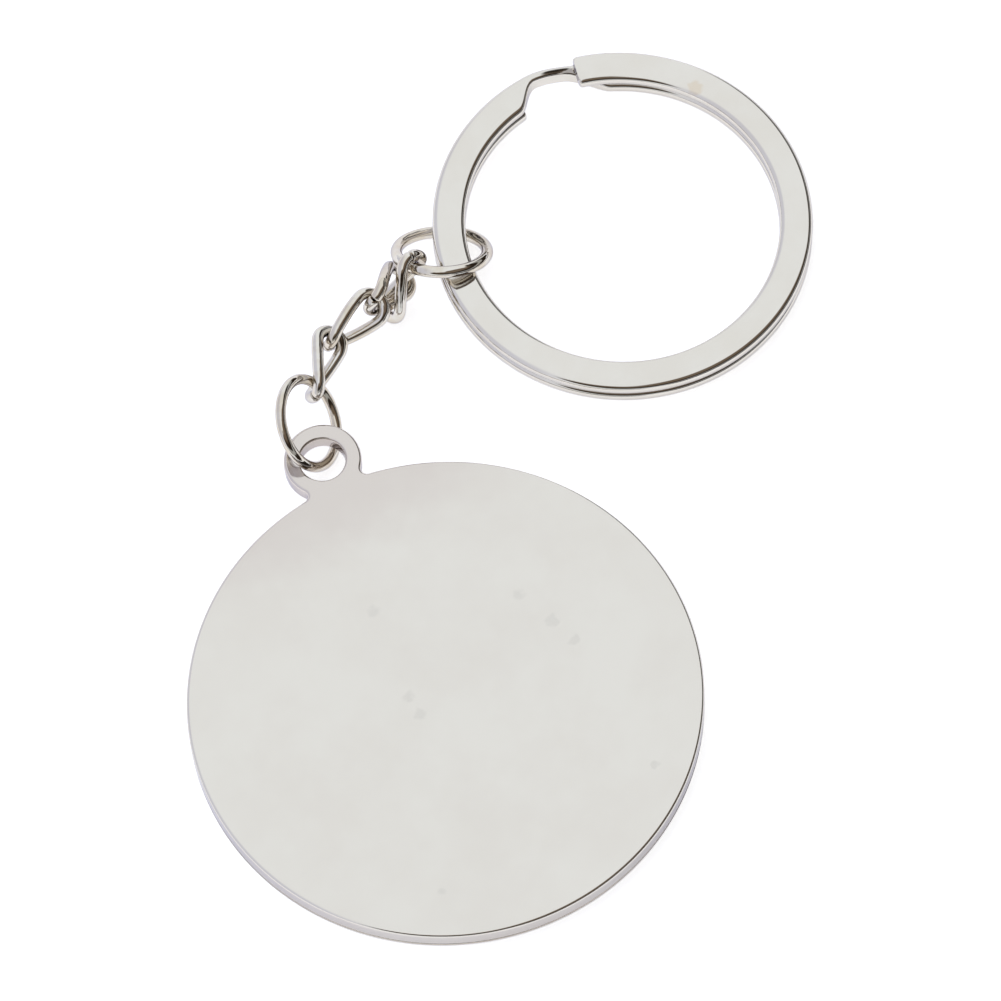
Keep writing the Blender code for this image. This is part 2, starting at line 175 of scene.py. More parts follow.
def nickel(name, worn, patch_size, roughness, mark_size, wave_size, wave_share):
    """Plated metal: warm patches, an uneven polish, fine marks and a slight waviness."""
    made, tree, shader = start_material(name)
    place = tree.nodes.new("ShaderNodeTexCoord").outputs["Object"]
    patches = add_node(tree, "ShaderNodeTexNoise", Vector=place, Scale=1 / patch_size,
                       Detail=6.0, Roughness=0.62)
    patch = add_node(tree, "ShaderNodeMapRange", Value=patches.outputs["Fac"])
    patch.inputs["From Min"].default_value = WORN_BELOW
    patch.inputs["From Max"].default_value = FRESH_ABOVE
    color = mix_colors(tree, patch.outputs["Result"], (*worn, 1), (*NICKEL, 1))
    tree.links.new(color, shader.inputs["Base Color"])
    shader.inputs["Metallic"].default_value = 1
    shader.inputs["Specular Tint"].default_value = EDGE_TINT
    marks = add_node(tree, "ShaderNodeTexNoise", Vector=place, Scale=1 / mark_size, Detail=4.0)
    spread = math_node(tree, "MULTIPLY", marks.outputs["Fac"], roughness)
    tree.links.new(math_node(tree, "ADD", spread, roughness / 2), shader.inputs["Roughness"])
    waves = add_node(tree, "ShaderNodeTexNoise", Vector=place, Scale=1 / wave_size, Detail=2.0)
    soft = add_node(tree, "ShaderNodeBump", Height=waves.outputs["Fac"], Strength=1.0,
                    Distance=wave_size * wave_share)
    tree.links.new(soft.outputs["Normal"], shader.inputs["Normal"])
    return made


plate_nickel = nickel("plate_nickel", worn=(0.68, 0.645, 0.595), patch_size=9 * MM,
                      roughness=0.10, mark_size=0.25 * MM, wave_size=5 * MM, wave_share=0.002)
band_nickel = nickel("band_nickel", worn=(0.68, 0.645, 0.59), patch_size=5 * MM,
                     roughness=0.09, mark_size=0.3 * MM, wave_size=2.5 * MM, wave_share=0.003)
wire_nickel = nickel("wire_nickel", worn=(0.63, 0.57, 0.48), patch_size=2 * MM,
                     roughness=0.05, mark_size=0.15 * MM, wave_size=0.9 * MM, wave_share=0.025)
print("metals:", plate_nickel.name, band_nickel.name, wire_nickel.name)

# %% [markdown]
# Handling leaves stains: a smudge and faint pits in the plating. The same kind of spot also
# paints shade: a darker, warmer patch on one side of the medallion's back. Each is a spot round
# one point of the surface. Noise pushes its edge in and out, so that no stain is a neat circle.
# A very large spot whose edge just reaches the piece paints shade on one side of it. Texture
# painting could do the same, but a spot given by a point and a radius can be moved by changing
# a number.

# %% Stains and painted shade
# Tints real stains and pits, and also paints shade where a very large spot is used
def stain_and_painted_shade(made, centre, radius, ragged, soft, tint):
    """Tint a metal round one point. The edge wanders by the ragged distance and is soft."""
    tree = made.node_tree
    color = tree.nodes["Principled BSDF"].inputs["Base Color"]
    place = tree.nodes.new("ShaderNodeTexCoord").outputs["Object"]
    distance = tree.nodes.new("ShaderNodeVectorMath")
    distance.operation = "DISTANCE"
    tree.links.new(place, distance.inputs[0])
    distance.inputs[1].default_value = centre
    edge = add_node(tree, "ShaderNodeTexNoise", Vector=place, Scale=1 / ragged, Detail=4.0)
    wander = math_node(tree, "MULTIPLY", edge.outputs["Fac"], 2 * ragged)
    inside = math_node(tree, "SUBTRACT", wander, distance.outputs["Value"])
    share = add_node(tree, "ShaderNodeMapRange", Value=inside)
    share.interpolation_type = "SMOOTHSTEP"
    share.inputs["From Min"].default_value = ragged - soft / 2 - radius
    share.inputs["From Max"].default_value = ragged + soft / 2 - radius
    before = color.links[0].from_socket
    tree.links.new(mix_colors(tree, share.outputs["Result"], before, (*tint, 1)), color)


print("stain is ready")

# %% [markdown]
# ## Solid shapes from stacks of rings
#
# Every metal piece here can be described by cross-sections that follow one another: circles
# up a turned disc, wire sections along a bent loop. One function joins such rings of points
# into a closed solid. Blender's spin tool and bevelled curves could make some of the pieces;
# one function of our own makes them all and keeps hold of every edge. A second one shades
# the solid: smooth over round parts, sharp at real edges, with normals weighted by area so
# that flat faces stay truly flat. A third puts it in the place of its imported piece.

# %% Skin a stack of rings
def arc(radius, first, last, steps, centre=(0, 0)):
    """Points along a circle, from one angle in degrees to another, both ends included."""
    angles = [math.radians(first + (last - first) * k / steps) for k in range(steps + 1)]
    return [(centre[0] + radius * math.cos(a), centre[1] + radius * math.sin(a)) for a in angles]


def skinned(name, rings):
    """A closed mesh object: each ring of points is joined to the next, both ends capped."""
    shape = bmesh.new()
    loops = [[shape.verts.new(point) for point in ring] for ring in rings]
    count = len(loops[0])
    for near, far in zip(loops, loops[1:]):
        for i in range(count):
            j = (i + 1) % count
            shape.faces.new((near[i], near[j], far[j], far[i]))
    shape.faces.new(loops[0][::-1])
    shape.faces.new(loops[-1])
    bmesh.ops.recalc_face_normals(shape, faces=shape.faces)
    mesh = bpy.data.meshes.new(name)
    shape.to_mesh(mesh)
    shape.free()
    item = bpy.data.objects.new(name, mesh)
    bpy.context.collection.objects.link(item)
    return item


def shade(item, sharp_degrees=32):
    """Smooth over round parts, sharp at edges steeper than an angle, flat where it is flat."""
    item.data.shade_smooth()
    item.data.set_sharp_from_angle(angle=math.radians(sharp_degrees))
    weighted = item.modifiers.new("flat faces stay flat", "WEIGHTED_NORMAL")
    weighted.keep_sharp = True
    weighted.weight = 100


def dress(item, place, finish, node):
    """Put a piece in its place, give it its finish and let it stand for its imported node."""
    item.data.transform(place)
    item.data.materials.append(finish)
    bodies = frame["record"]["behaviour"]["bodies"]
    body = next(name for name, nodes in bodies.items() if node in nodes)
    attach(item, body)
    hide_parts(node)


print("skinned, shade and dress are ready")

# %% [markdown]
# ## Where everything lies
#
# The origin is the centre of the medallion's flat back. The medallion leans on the jump ring
# that lies under its eyelet, so the table isn't quite parallel to its back, and the split
# ring leans on the upper jump ring in the same way. A physics run could drop the pieces into
# place, but a lean on one support is a single arcsine.

# %% Lie of the medallion
DISC_RADIUS = 20 * MM
DISC_THICKNESS = 2 * MM
EYELET_REACH = 2.45 * MM
LOWER_JUMP_WIRE = 0.85 * MM
MEDALLION_LIFT_SHARE = 0.87
tilt = math.asin(MEDALLION_LIFT_SHARE * LOWER_JUMP_WIRE / (2 * DISC_RADIUS + EYELET_REACH))
tilted = Matrix.Rotation(tilt, 3, "X")
table_level = Vector((0, DISC_THICKNESS * math.sin(tilt),
                      -DISC_RADIUS * math.sin(tilt) - DISC_THICKNESS * math.cos(tilt)))
print("the table lies", round(-table_level.z / MM, 2), "mm below the medallion's back")

# %% [markdown]
# ## The medallion's outline
#
# Such a medallion is cast or struck in one piece with its eyelet, and the inner corners
# between the two are hollow and round because a cutter or a mould can't leave them sharp.
# The outline is three kinds of arc: the disc, the eyelet and a small corner circle that
# touches both. Drawing the outline in by a distance only changes the three radii, which
# makes it easy to round the edge: each ring of the edge is the same outline, drawn in a
# little less and set a little lower. Joining a disc and a tab and bevelling the result is the
# usual other way, but a bevel often breaks in corners as tight as these.

# %% Outline of disc and eyelet
EYELET_RADIUS = 3.05 * MM
NECK_FILLET = 0.5 * MM
DISC_ARC_STEPS = 220
EYELET_ARC_STEPS = 70
FILLET_STEPS = 10


def medallion_outline(drawn_in, with_eyelet=True):
    """Counter-clockwise from the right-hand corner, over the eyelet and round the disc."""
    disc = DISC_RADIUS - drawn_in
    eyelet = EYELET_RADIUS - drawn_in
    fillet = NECK_FILLET + drawn_in
    apart = DISC_RADIUS + EYELET_REACH
    y = ((disc + fillet) ** 2 - (eyelet + fillet) ** 2 + apart ** 2) / (2 * apart)
    x = math.sqrt((disc + fillet) ** 2 - y ** 2)
    on_disc = math.degrees(math.atan2(y, x))
    on_eyelet = math.degrees(math.atan2(y - apart, x))
    left = 180 - on_disc
    if with_eyelet:
        right_corner = arc(fillet, on_disc + 180, on_eyelet + 180, FILLET_STEPS, (x, y))
        head = arc(eyelet, on_eyelet, 180 - on_eyelet, EYELET_ARC_STEPS, (0, apart))
        left_corner = [(-px, py) for px, py in reversed(right_corner)]
        top = right_corner[:-1] + head + left_corner[1:]
    else:
        top = arc(disc, on_disc, left, 2 * FILLET_STEPS + EYELET_ARC_STEPS)
    return top + arc(disc, left, on_disc + 360, DISC_ARC_STEPS)[1:-1]


print("outline points:", len(medallion_outline(0)))

# %% [markdown]
# ## The crest side
#
# The side that lies face down carries a crest in soft enamel: thin metal lines stand
# between recessed cells, and each cell is filled with one colour that stays a little below
# the lines. The design here is a generic one, a shield with a football. It could be a picture
# on a flat face, but real cells give the metal lines edges that catch the light. So the cells
# are cut out of the metal, and the fills are laid in afterwards, as in the workshop. Only
# half of the shield is drawn; the other half is its mirror image.

# %% Outlines of the cells
RIM_WIDTH = 1.6 * MM
LINE_WIDTH = 0.5 * MM
BALL_SHARE = 0.40
SHIELD_TOP_SHARE = 0.66
SHIELD_HALF_WIDTH_SHARE = 0.62
SHIELD_POINT_SHARE = 0.88
SHIELD_SHOULDER_SHARE = 0.10
BALL_CENTRE_PANEL_SHARE = 0.39
BALL_CORNER = 360 / 5
EDGE_PANEL_HALF_ANGLE = 17
FIELD_STEPS = 72
FLANK_STEPS = 24
BALL_STEPS = 48
EDGE_PANEL_STEPS = 4
WHITE_PANEL_STEPS = 12


def mirrored(outline):
    return [(-x, y) for x, y in reversed(outline)]


def crest_cells():
    """Outlines along the middle of the metal lines, with the colour of each cell."""
    field = DISC_RADIUS - RIM_WIDTH + LINE_WIDTH / 2
    ball = field * BALL_SHARE
    top = field * SHIELD_TOP_SHARE
    side = field * SHIELD_HALF_WIDTH_SHARE
    drop = field * (SHIELD_POINT_SHARE + SHIELD_SHOULDER_SHARE)
    bend = (side ** 2 + drop ** 2) / (2 * side)
    sweep = math.degrees(math.asin(drop / bend))
    shoulder = (bend - side, field * SHIELD_SHOULDER_SHARE)
    flank = arc(bend, 180, 180 + sweep, FLANK_STEPS, shoulder)
    field_left = arc(field, 90, 270, FIELD_STEPS) + flank[::-1] + [(-side, top), (0, top)]
    shield_left = [(0, top), (-side, top)] + flank + arc(ball, 270, 90, BALL_STEPS)
    cells = {
        "field_left": (field_left, "navy"),
        "field_right": (mirrored(field_left), "navy"),
        "shield_left": (shield_left, "green"),
        "shield_right": (mirrored(shield_left), "green"),
    }
    middle = ball * BALL_CENTRE_PANEL_SHARE
    seam_end = (ball + middle) / 2
    half = EDGE_PANEL_HALF_ANGLE
    corners = [90 + BALL_CORNER * k for k in range(5)]
    cells["ball_centre"] = ([arc(middle, corner, corner, 1)[0] for corner in corners], "black")
    for k, corner in enumerate(corners):
        following = corner + BALL_CORNER
        start = arc(seam_end, corner, corner, 1)[:1]
        end = arc(seam_end, following, following, 1)[:1]
        edge_panel = start + arc(ball, corner - half, corner + half, EDGE_PANEL_STEPS)
        pale = arc(middle, following, corner, 1) + start
        pale += arc(ball, corner + half, following - half, WHITE_PANEL_STEPS) + end
        cells[f"ball_edge_{k + 1}"] = (edge_panel, "black")
        cells[f"ball_panel_{k + 1}"] = (pale, "white")
    return cells


cells = crest_cells()
print("cells:", len(cells))

# %% [markdown]
# Neighbouring cells share the middle of a metal line. Drawing each outline in by half the
# line's width leaves a line of even width between them, and drawing it in further gives the
# enamel its gap. The width is kept at the corners too: a corner moves along its bisector, and
# further where it is sharper.

# %% Draw an outline in
def inset(outline, distance):
    """The outline drawn in by a distance. Its points run counter-clockwise."""
    drawn = []
    for before, here, after in zip(outline[-1:] + outline[:-1], outline, outline[1:] + outline[:1]):
        here = Vector(here)
        into = (here - Vector(before)).normalized()
        out = (Vector(after) - here).normalized()
        side = Vector((-into.y, into.x)) + Vector((-out.y, out.x))
        drawn.append(here + side * (2 * distance / side.length_squared))
    return drawn


navy_cell = inset(cells["field_left"][0], LINE_WIDTH / 2)
print("the left field has", len(navy_cell), "points and ends",
      round(-min(x for x, y in navy_cell) / MM, 2), "mm left of the middle")

# %% [markdown]
# From the crest side up, the medallion is first a plain disc and then, from the underside of
# the eyelet, a disc with its tab. Every ring has the same number of points, so one skin runs
# over both: below the tab, the points that will draw it wait on the edge of the disc. The
# plated edges of the real one are soft, so each is a quarter of a small circle.

# %% Shape the medallion
EYELET_THICKNESS = 1.6 * MM
EDGE_ROUND = 0.25 * MM
ROUND_STEPS = 6


def rounded_rings(outline_at, edge, height, start):
    """Rings over a quarter of round edge, from the angle at which it starts."""
    rings = []
    for k in range(ROUND_STEPS + 1):
        angle = math.radians(start + 90 * k / ROUND_STEPS)
        outline = outline_at(edge - edge * math.cos(angle))
        rings.append([(x, y, height + edge * math.sin(angle)) for x, y in outline])
    return rings


def plain_disc(drawn_in):
    return medallion_outline(drawn_in, with_eyelet=False)


def shape_medallion():
    """From the crest side up: the disc alone, the eyelet's underside, then both together."""
    rings = rounded_rings(plain_disc, EDGE_ROUND, EDGE_ROUND - DISC_THICKNESS, -90)
    rings.append([(x, y, -EYELET_THICKNESS) for x, y in plain_disc(0)])
    rings += rounded_rings(medallion_outline, EDGE_ROUND, EDGE_ROUND - EYELET_THICKNESS, -90)
    rings += rounded_rings(medallion_outline, EDGE_ROUND, -EDGE_ROUND, 0)
    return skinned("medallion_metal", rings)


metal = shape_medallion()
print("medallion before cutting:", len(metal.data.vertices), "points")

# %% [markdown]
# The eyelet's hole and the cells are cut with booleans, as a drill and a die would: a cut
# leaves clean walls and keeps the faces around it flat, where a hand-made hole needs many
# more faces. The drill flares at both ends, so the rim of the hole comes out round in the same
# cut. Each cutter runs past the surface, because two faces in one plane confuse a boolean.

# %% Cut the hole and the cells
EYELET_HOLE_RADIUS = 1.8 * MM
HOLE_ROUND = 0.18 * MM
HOLE_STEPS = 72
CELL_DEPTH = 0.45 * MM
CUT_OVERRUN = 1 * MM


def hole_profile():
    """The drill with a flare at each end, which leaves a round edge at the hole."""
    turns = [math.radians(15 * k) for k in range(7)]
    upper = [(EYELET_HOLE_RADIUS + HOLE_ROUND * (1 - math.cos(turn)),
              HOLE_ROUND * (math.sin(turn) - 1)) for turn in turns]
    lower = [(r, -EYELET_THICKNESS - z) for r, z in reversed(upper)]
    flare = EYELET_HOLE_RADIUS + HOLE_ROUND + CUT_OVERRUN
    return [(flare, -EYELET_THICKNESS - CUT_OVERRUN)] + lower + upper + [(flare, CUT_OVERRUN)]


def cut_out(item, cutter):
    """Take the cutter's shape out of the item for good, and throw the cutter away."""
    boolean = item.modifiers.new("cut", "BOOLEAN")
    boolean.operation = "DIFFERENCE"
    boolean.solver = "EXACT"
    boolean.object = cutter
    bpy.context.view_layer.update()
    seen = item.evaluated_get(bpy.context.evaluated_depsgraph_get())
    item.data = bpy.data.meshes.new_from_object(seen)
    item.modifiers.clear()
    bpy.data.objects.remove(cutter, do_unlink=True)


hole_rings = [[(x, y + DISC_RADIUS + EYELET_REACH, z)
               for x, y in arc(r, 0, 360, HOLE_STEPS)[:-1]] for r, z in hole_profile()]
cut_out(metal, skinned("drill", hole_rings))
floor_of_cell = CELL_DEPTH - DISC_THICKNESS
for outline, _ in cells.values():
    sides = inset(outline, LINE_WIDTH / 2)
    cut_out(metal, skinned("cell", [[(x, y, z) for x, y in sides]
                                    for z in (-DISC_THICKNESS - CUT_OVERRUN, floor_of_cell)]))
shade(metal)
dress(metal, tilted.to_4x4(), plate_nickel, "medallion")
print("medallion after cutting:", len(metal.data.vertices), "points")

# %% [markdown]
# The back isn't spotless. A darker, warmer shade is painted on it near the eyelet, and
# eight small pits in the plating lie where the photograph shows them.

# %% Painted shade and pits on the medallion's back
PAINTED_SHADE = (0.635, 0.585, 0.545)
PIT = (0.645, 0.615, 0.57)
PAINTED_SHADE_FROM = 15.5 * MM
PAINTED_SHADE_BEND = 60 * MM
# Each pit's place and radius, in millimetres
PITS = ((12.0, -12.3, 0.35), (-1.9, 8.9, 0.45), (-2.6, 1.2, 0.4), (-2.4, -0.5, 0.45),
        (8.8, 5.2, 0.4), (10.2, 2.1, 0.5), (11.0, -0.1, 0.4), (-7.2, -14.6, 0.3))
# Painted shade: the back is darker and warmer towards the eyelet
stain_and_painted_shade(plate_nickel, tilted @ Vector((0, PAINTED_SHADE_FROM + PAINTED_SHADE_BEND, 0)), PAINTED_SHADE_BEND,
      ragged=2.5 * MM, soft=7 * MM, tint=PAINTED_SHADE)
for x, y, radius in PITS:
    stain_and_painted_shade(plate_nickel, tilted @ Vector((x * MM, y * MM, 0)), radius * MM,
          ragged=0.5 * MM, soft=0.4 * MM, tint=PIT)
print("marks:", 1 + len(PITS))

# %% [markdown]
# ## Enamel
#
# Soft enamel is a coloured resin, baked in its cell. It is glossy, a shade deeper where it
# pools, and it carries a faint orange-peel texture. Plain glossy plastic would come close; a
# clear coat over a slightly uneven base adds the depth of a cured resin. Two noises do it,
# one as wide as the pools and one as fine as the peel.

# %% Enamel finish
ENAMELS = {"navy": (0.03, 0.06, 0.20), "green": (0.04, 0.22, 0.09),
           "white": (0.85, 0.85, 0.83), "black": (0.02, 0.02, 0.02)}
POOL_SIZE = 3 * MM
POOL_DEPTH = 0.8
PEEL_SIZE = 0.5 * MM
PEEL_HEIGHT = 0.01 * MM
PEEL_ROUGHNESS = 0.25


def enamel_finish(name, color):
    """Glossy resin: deeper where it pools, with a faint orange peel under a clear coat."""
    made, tree, shader = start_material(f"{name}_enamel")
    place = tree.nodes.new("ShaderNodeTexCoord").outputs["Object"]
    pools = add_node(tree, "ShaderNodeTexNoise", Vector=place, Scale=1 / POOL_SIZE, Detail=3.0)
    deep = [channel * POOL_DEPTH for channel in color]
    tree.links.new(mix_colors(tree, pools.outputs["Fac"], (*deep, 1), (*color, 1)),
                   shader.inputs["Base Color"])
    peel = add_node(tree, "ShaderNodeTexNoise", Vector=place, Scale=1 / PEEL_SIZE, Detail=2.0)
    tree.links.new(math_node(tree, "MULTIPLY", peel.outputs["Fac"], PEEL_ROUGHNESS),
                   shader.inputs["Roughness"])
    bump = add_node(tree, "ShaderNodeBump", Height=peel.outputs["Fac"], Strength=0.5,
                    Distance=PEEL_HEIGHT)
    tree.links.new(bump.outputs["Normal"], shader.inputs["Normal"])
    shader.inputs["Coat Weight"].default_value = 0.5
    shader.inputs["Coat Roughness"].default_value = 0.05
    return made


finishes = {name: enamel_finish(name, color) for name, color in ENAMELS.items()}
print("enamels:", list(finishes))

# %% [markdown]
# Each fill is a piece of its own, so it can be recoloured or left out. It takes the outline of
# its cell, drawn in by a hair more than the walls, and stays a little below the metal lines.
# Resin shrinks a little as it cures, so four rings roll its edge up to the flat face.

# %% Lay in the fills
ENAMEL_GAP = 0.05 * MM
ENAMEL_DROP = 0.08 * MM
ROLL_WIDTH = 0.10 * MM
ROLL_DEPTH = 0.04 * MM
ENAMEL_SHARP_DEGREES = 50
for name, (outline, enamel) in cells.items():
    side = LINE_WIDTH / 2 + ENAMEL_GAP
    face = ENAMEL_DROP - DISC_THICKNESS
    rings = [[(x, y, floor_of_cell - ENAMEL_GAP) for x, y in inset(outline, side)]]
    for k in range(4):
        turn = math.radians(30 * k)
        drawn = inset(outline, side + ROLL_WIDTH * (1 - math.cos(turn)))
        rings.append([(x, y, face + ROLL_DEPTH * (1 - math.sin(turn))) for x, y in drawn])
    fill = skinned(f"fill_{name}", rings)
    shade(fill, ENAMEL_SHARP_DEGREES)
    dress(fill, tilted.to_4x4(), finishes[enamel], f"enamel_{name}")
print("fills:", len(cells))

# %% [markdown]
# ## Bent wire loops
#
# Jump rings and curb links are lengths of round wire bent into a loop and cut off, so each
# has a fine seam where its two ends meet. A curb link is an oval that is twisted a quarter
# turn about its length, which lets the chain lie flat. A curve object with a round bevel
# could make the wire. Here a route function gives the middle of the wire at any share of the
# way round, which also tells where two loops meet, and the wire is swept along it.

# %% Routes
LINK_WIRE = 0.95 * MM
LINK_LENGTH = 6.5 * MM
LINK_WIDTH = 3.55 * MM
LINK_TWIST = math.radians(90)


def ring_route(radius):
    """Round a circle: the point and the ring's own axis."""
    return lambda share: (
        Vector((radius * math.cos(math.tau * share), radius * math.sin(math.tau * share), 0)),
        Vector((0, 0, 1)),
    )


def link_route(share):
    """Round a link, from its upper end and back: an oval that is twisted about its length."""
    bend = (LINK_WIDTH - LINK_WIRE) / 2
    half = (LINK_LENGTH - LINK_WIRE) / 2
    straight = half - bend
    quarter = math.pi * bend / 2 + straight
    lap, rest = divmod((share % 1) * 4 * quarter, 2 * quarter)
    upper, from_end = (1, rest) if rest <= quarter else (-1, 2 * quarter - rest)
    angle = min(from_end / bend, math.pi / 2)
    run = max(from_end - math.pi * bend / 2, 0)
    leg = 1 if lap == 0 else -1
    length = leg * upper * (straight + bend * math.cos(angle) - run)
    width = leg * bend * math.sin(angle)
    twist = LINK_TWIST * length / (2 * half)
    point = Vector((length, width * math.cos(twist), -width * math.sin(twist)))
    return point, Vector((0, math.sin(twist), math.cos(twist)))


def heading(route, share, step=0.001):
    return (route(share + step)[0] - route(share - step)[0]).normalized()


print("link is", round(LINK_LENGTH / MM, 2), "mm long")

# %% [markdown]
# Each loop hangs on the one before it. Two wires that bear on each other touch at one point,
# where they cross, so a loop is placed by saying which share of its wire lies against which
# share of its holder's: the two middles are then a wire and a small gap apart, square to both
# wires. Placing loops by coordinates would be simpler to write, but any change of a size would
# leave them floating.

# %% A loop that can be seated
WIRE_GAP = 0.08 * MM


class Loop:
    """A bent wire loop: its route, its wire, how it is turned and its centre."""

    def __init__(self, name, wire, turn, route):
        self.name = name
        self.wire = wire
        self.turn = Euler([math.radians(angle) for angle in turn], "XYZ").to_matrix()
        self.route = route
        self.centre = Vector((0, 0, 0))

    def reach(self, share):
        return self.turn @ self.route(share)[0]

    def along(self, share):
        return self.turn @ heading(self.route, share)

    def bear_on(self, holder, holder_share, share, side):
        """Lie against the holder, on one side (1) or the other (-1) of its wire."""
        across = holder.along(holder_share).cross(self.along(share)).normalized()
        apart = side * ((holder.wire + self.wire) / 2 + WIRE_GAP)
        contact = holder.centre + holder.reach(holder_share)
        self.centre = contact + apart * across - self.reach(share)


print("loops keep", round(WIRE_GAP / MM, 2), "mm from the wire that they bear on")

# %% [markdown]
# The chain is seated from the eyelet up: the lower jump ring, links D, C, B and A, and the
# upper jump ring, which is steep enough to go round the split ring's band. The turns and the
# shares were found from the photograph, one crossing after another.

# %% Seat each loop on the one before it
UPPER_JUMP_WIRE = 0.95 * MM
BAND_THICKNESS = 1.1 * MM
COIL_GAP = 0.1 * MM
LOWER_JUMP_RADIUS = 3.5 * MM
UPPER_JUMP_RADIUS = 3.575 * MM
UPPER_JUMP_ROOM = 1.05 * MM
LOWER_JUMP_LEAN = Vector((0.075, 0.8586, 0.41))
rise = 2 * BAND_THICKNESS + COIL_GAP + UPPER_JUMP_WIRE + UPPER_JUMP_ROOM
steepness = math.degrees(math.asin(rise / (2 * UPPER_JUMP_RADIUS)))
# Turns are in degrees about x, y and z
lower_jump = Loop("lower_jump_ring", LOWER_JUMP_WIRE, (0, 55, -31),
                  ring_route(LOWER_JUMP_RADIUS))
link_d = Loop("link_d", LINK_WIRE, (76, -8, 48), link_route)
link_c = Loop("link_c", LINK_WIRE, (66, -8, 16), link_route)
link_b = Loop("link_b", LINK_WIRE, (63, 34, 33), link_route)
link_a = Loop("link_a", LINK_WIRE, (114, -43, 30), link_route)
upper_jump = Loop("upper_jump_ring", UPPER_JUMP_WIRE, (0, steepness, 62),
                  ring_route(UPPER_JUMP_RADIUS))
hole = tilted @ Vector((0, DISC_RADIUS + EYELET_REACH, -EYELET_THICKNESS / 2))
lower_jump.centre = hole + LOWER_JUMP_LEAN * LOWER_JUMP_RADIUS
link_d.bear_on(lower_jump, holder_share=0.274, share=0.359, side=1)
link_c.bear_on(link_d, holder_share=0.893, share=0.579, side=1)
link_b.bear_on(link_c, holder_share=0.887, share=0.628, side=1)
link_a.bear_on(link_b, holder_share=0.740, share=0.510, side=-1)
upper_jump.bear_on(link_a, holder_share=0.982, share=0.404, side=-1)
print("upper jump ring's centre, mm:", [round(v / MM, 2) for v in upper_jump.centre])

# %% [markdown]
# A cutter leaves a thin gap where a loop closes, and slightly rounded ends; that seam is what
# tells bent wire from a cast ring. So the sweep starts at one side of the seam and stops at
# the other, and its rings lie closer together at the ends, where the rounding needs them.

# %% Sweep the wire
WIRE_SIDES = 28
WIRE_STEPS = 220
SEAM_GAP = 0.12 * MM
CUT_ROUND_SHARE = 0.12
LENGTH_SAMPLES = 100


def make_wire(loop, seam_share):
    """Sweep round wire along a loop, with its two cut ends facing each other at the seam."""
    stops = [loop.route(k / LENGTH_SAMPLES)[0] for k in range(LENGTH_SAMPLES + 1)]
    length = sum((there - here).length for here, there in zip(stops, stops[1:]))
    opening = SEAM_GAP / length
    whole = 1 - opening
    rounding = CUT_ROUND_SHARE * loop.wire / length
    between = whole - 2 * rounding
    ends = [rounding * (1 - math.cos(math.radians(30 * k))) for k in range(3)]
    ways = ends + [rounding + between * k / WIRE_STEPS for k in range(WIRE_STEPS + 1)]
    ways += [whole - way for way in reversed(ends)]
    rings = []
    for way in ways:
        point, flat = loop.route(seam_share + opening / 2 + way)
        along = heading(loop.route, seam_share + opening / 2 + way)
        up = (flat - along * flat.dot(along)).normalized()
        out = along.cross(up)
        from_end = min(way, whole - way, rounding) / rounding
        shy = CUT_ROUND_SHARE * loop.wire * (1 - math.sqrt(1 - (1 - from_end) ** 2))
        angles = [math.tau * side / WIRE_SIDES for side in range(WIRE_SIDES)]
        rings.append([point + (up * math.cos(a) + out * math.sin(a)) * (loop.wire / 2 - shy)
                      for a in angles])
    item = skinned(loop.name + "_wire", rings)
    shade(item)
    place = Matrix.LocRotScale(loop.centre, loop.turn, Vector((1, 1, 1)))
    dress(item, place, wire_nickel, loop.name)


make_wire(lower_jump, seam_share=0.98)
make_wire(upper_jump, seam_share=0.965)
for link, seam_share in ((link_a, 0.04), (link_b, 0.47), (link_c, 0.47), (link_d, 0.46)):
    make_wire(link, seam_share)
print("swept 6 wire loops")

# %% [markdown]
# ## The split ring
#
# One flat spring wire with nearly half-round edges, wound twice. It steps down from the
# upper coil to the lower one under the upper free end. There the inner side is ground away,
# which leaves a notch with a sloping wall, so that a key can be pushed over it. Both free ends
# are squared off with soft corners. The ring is swept like the loops, but its section
# changes on the way: it sinks through the step and narrows through the notch.

# %% Section of the flat wire
SPLIT_RADIUS = 15 * MM
BAND_WIDTH = 2.6 * MM
BAND_EDGE = 0.48 * MM
NOTCH_EDGE = 0.3 * MM
NOTCH_SLOPE = 0.25 * MM
NOTCH_DEPTH_SHARE = 0.57
EDGE_STEPS = 9


def ease(share):
    """Rises smoothly from 0 to 1 and stays level outside that."""
    share = min(max(share, 0), 1)
    return share * share * (3 - 2 * share)


def band_section(near, far, low, inner_edge, slope):
    """The flat wire's section as (radius, height) pairs; the inner side may slope outwards."""
    high = low + BAND_THICKNESS
    # Each corner: its centre, the angle at which its arc starts and its radius
    corners = (
        (far - BAND_EDGE, low + BAND_EDGE, -90, BAND_EDGE),
        (far - BAND_EDGE, high - BAND_EDGE, 0, BAND_EDGE),
        (near + slope + inner_edge, high - inner_edge, 90, inner_edge),
        (near + inner_edge, low + inner_edge, 180, inner_edge),
    )
    return [point for r, z, start, round_by in corners
            for point in arc(round_by, start, start + 90, EDGE_STEPS, (r, z))]


print("band section has", len(band_section(0, BAND_WIDTH, 0, BAND_EDGE, 0)), "points")

# %% [markdown]
# The flat wire could be laid out straight and bent with a modifier. Winding it by angle is
# simpler here: at each step round the two coils, the height, the depth of the notch and the
# soft end are worked out, and the section is set there. The angles of the ends, the step and
# the notch were read from the photograph.

# %% Wind the split ring
UPPER_END = math.radians(80)
LOWER_END = math.radians(101.5)
STEP_START = math.radians(95.5)
STEP = math.radians(19)
END_LIFT = 0.15 * MM
END_LIFT_ARC = math.radians(30)
NOTCH_START = math.radians(104.5)
NOTCH_FULL = math.radians(94)
NOTCH_LEAVE = math.radians(84)
NOTCH_END = math.radians(68)
CORNER_ROUND = 0.3 * MM
CORNER_STEPS = 6
BAND_STEPS = 560


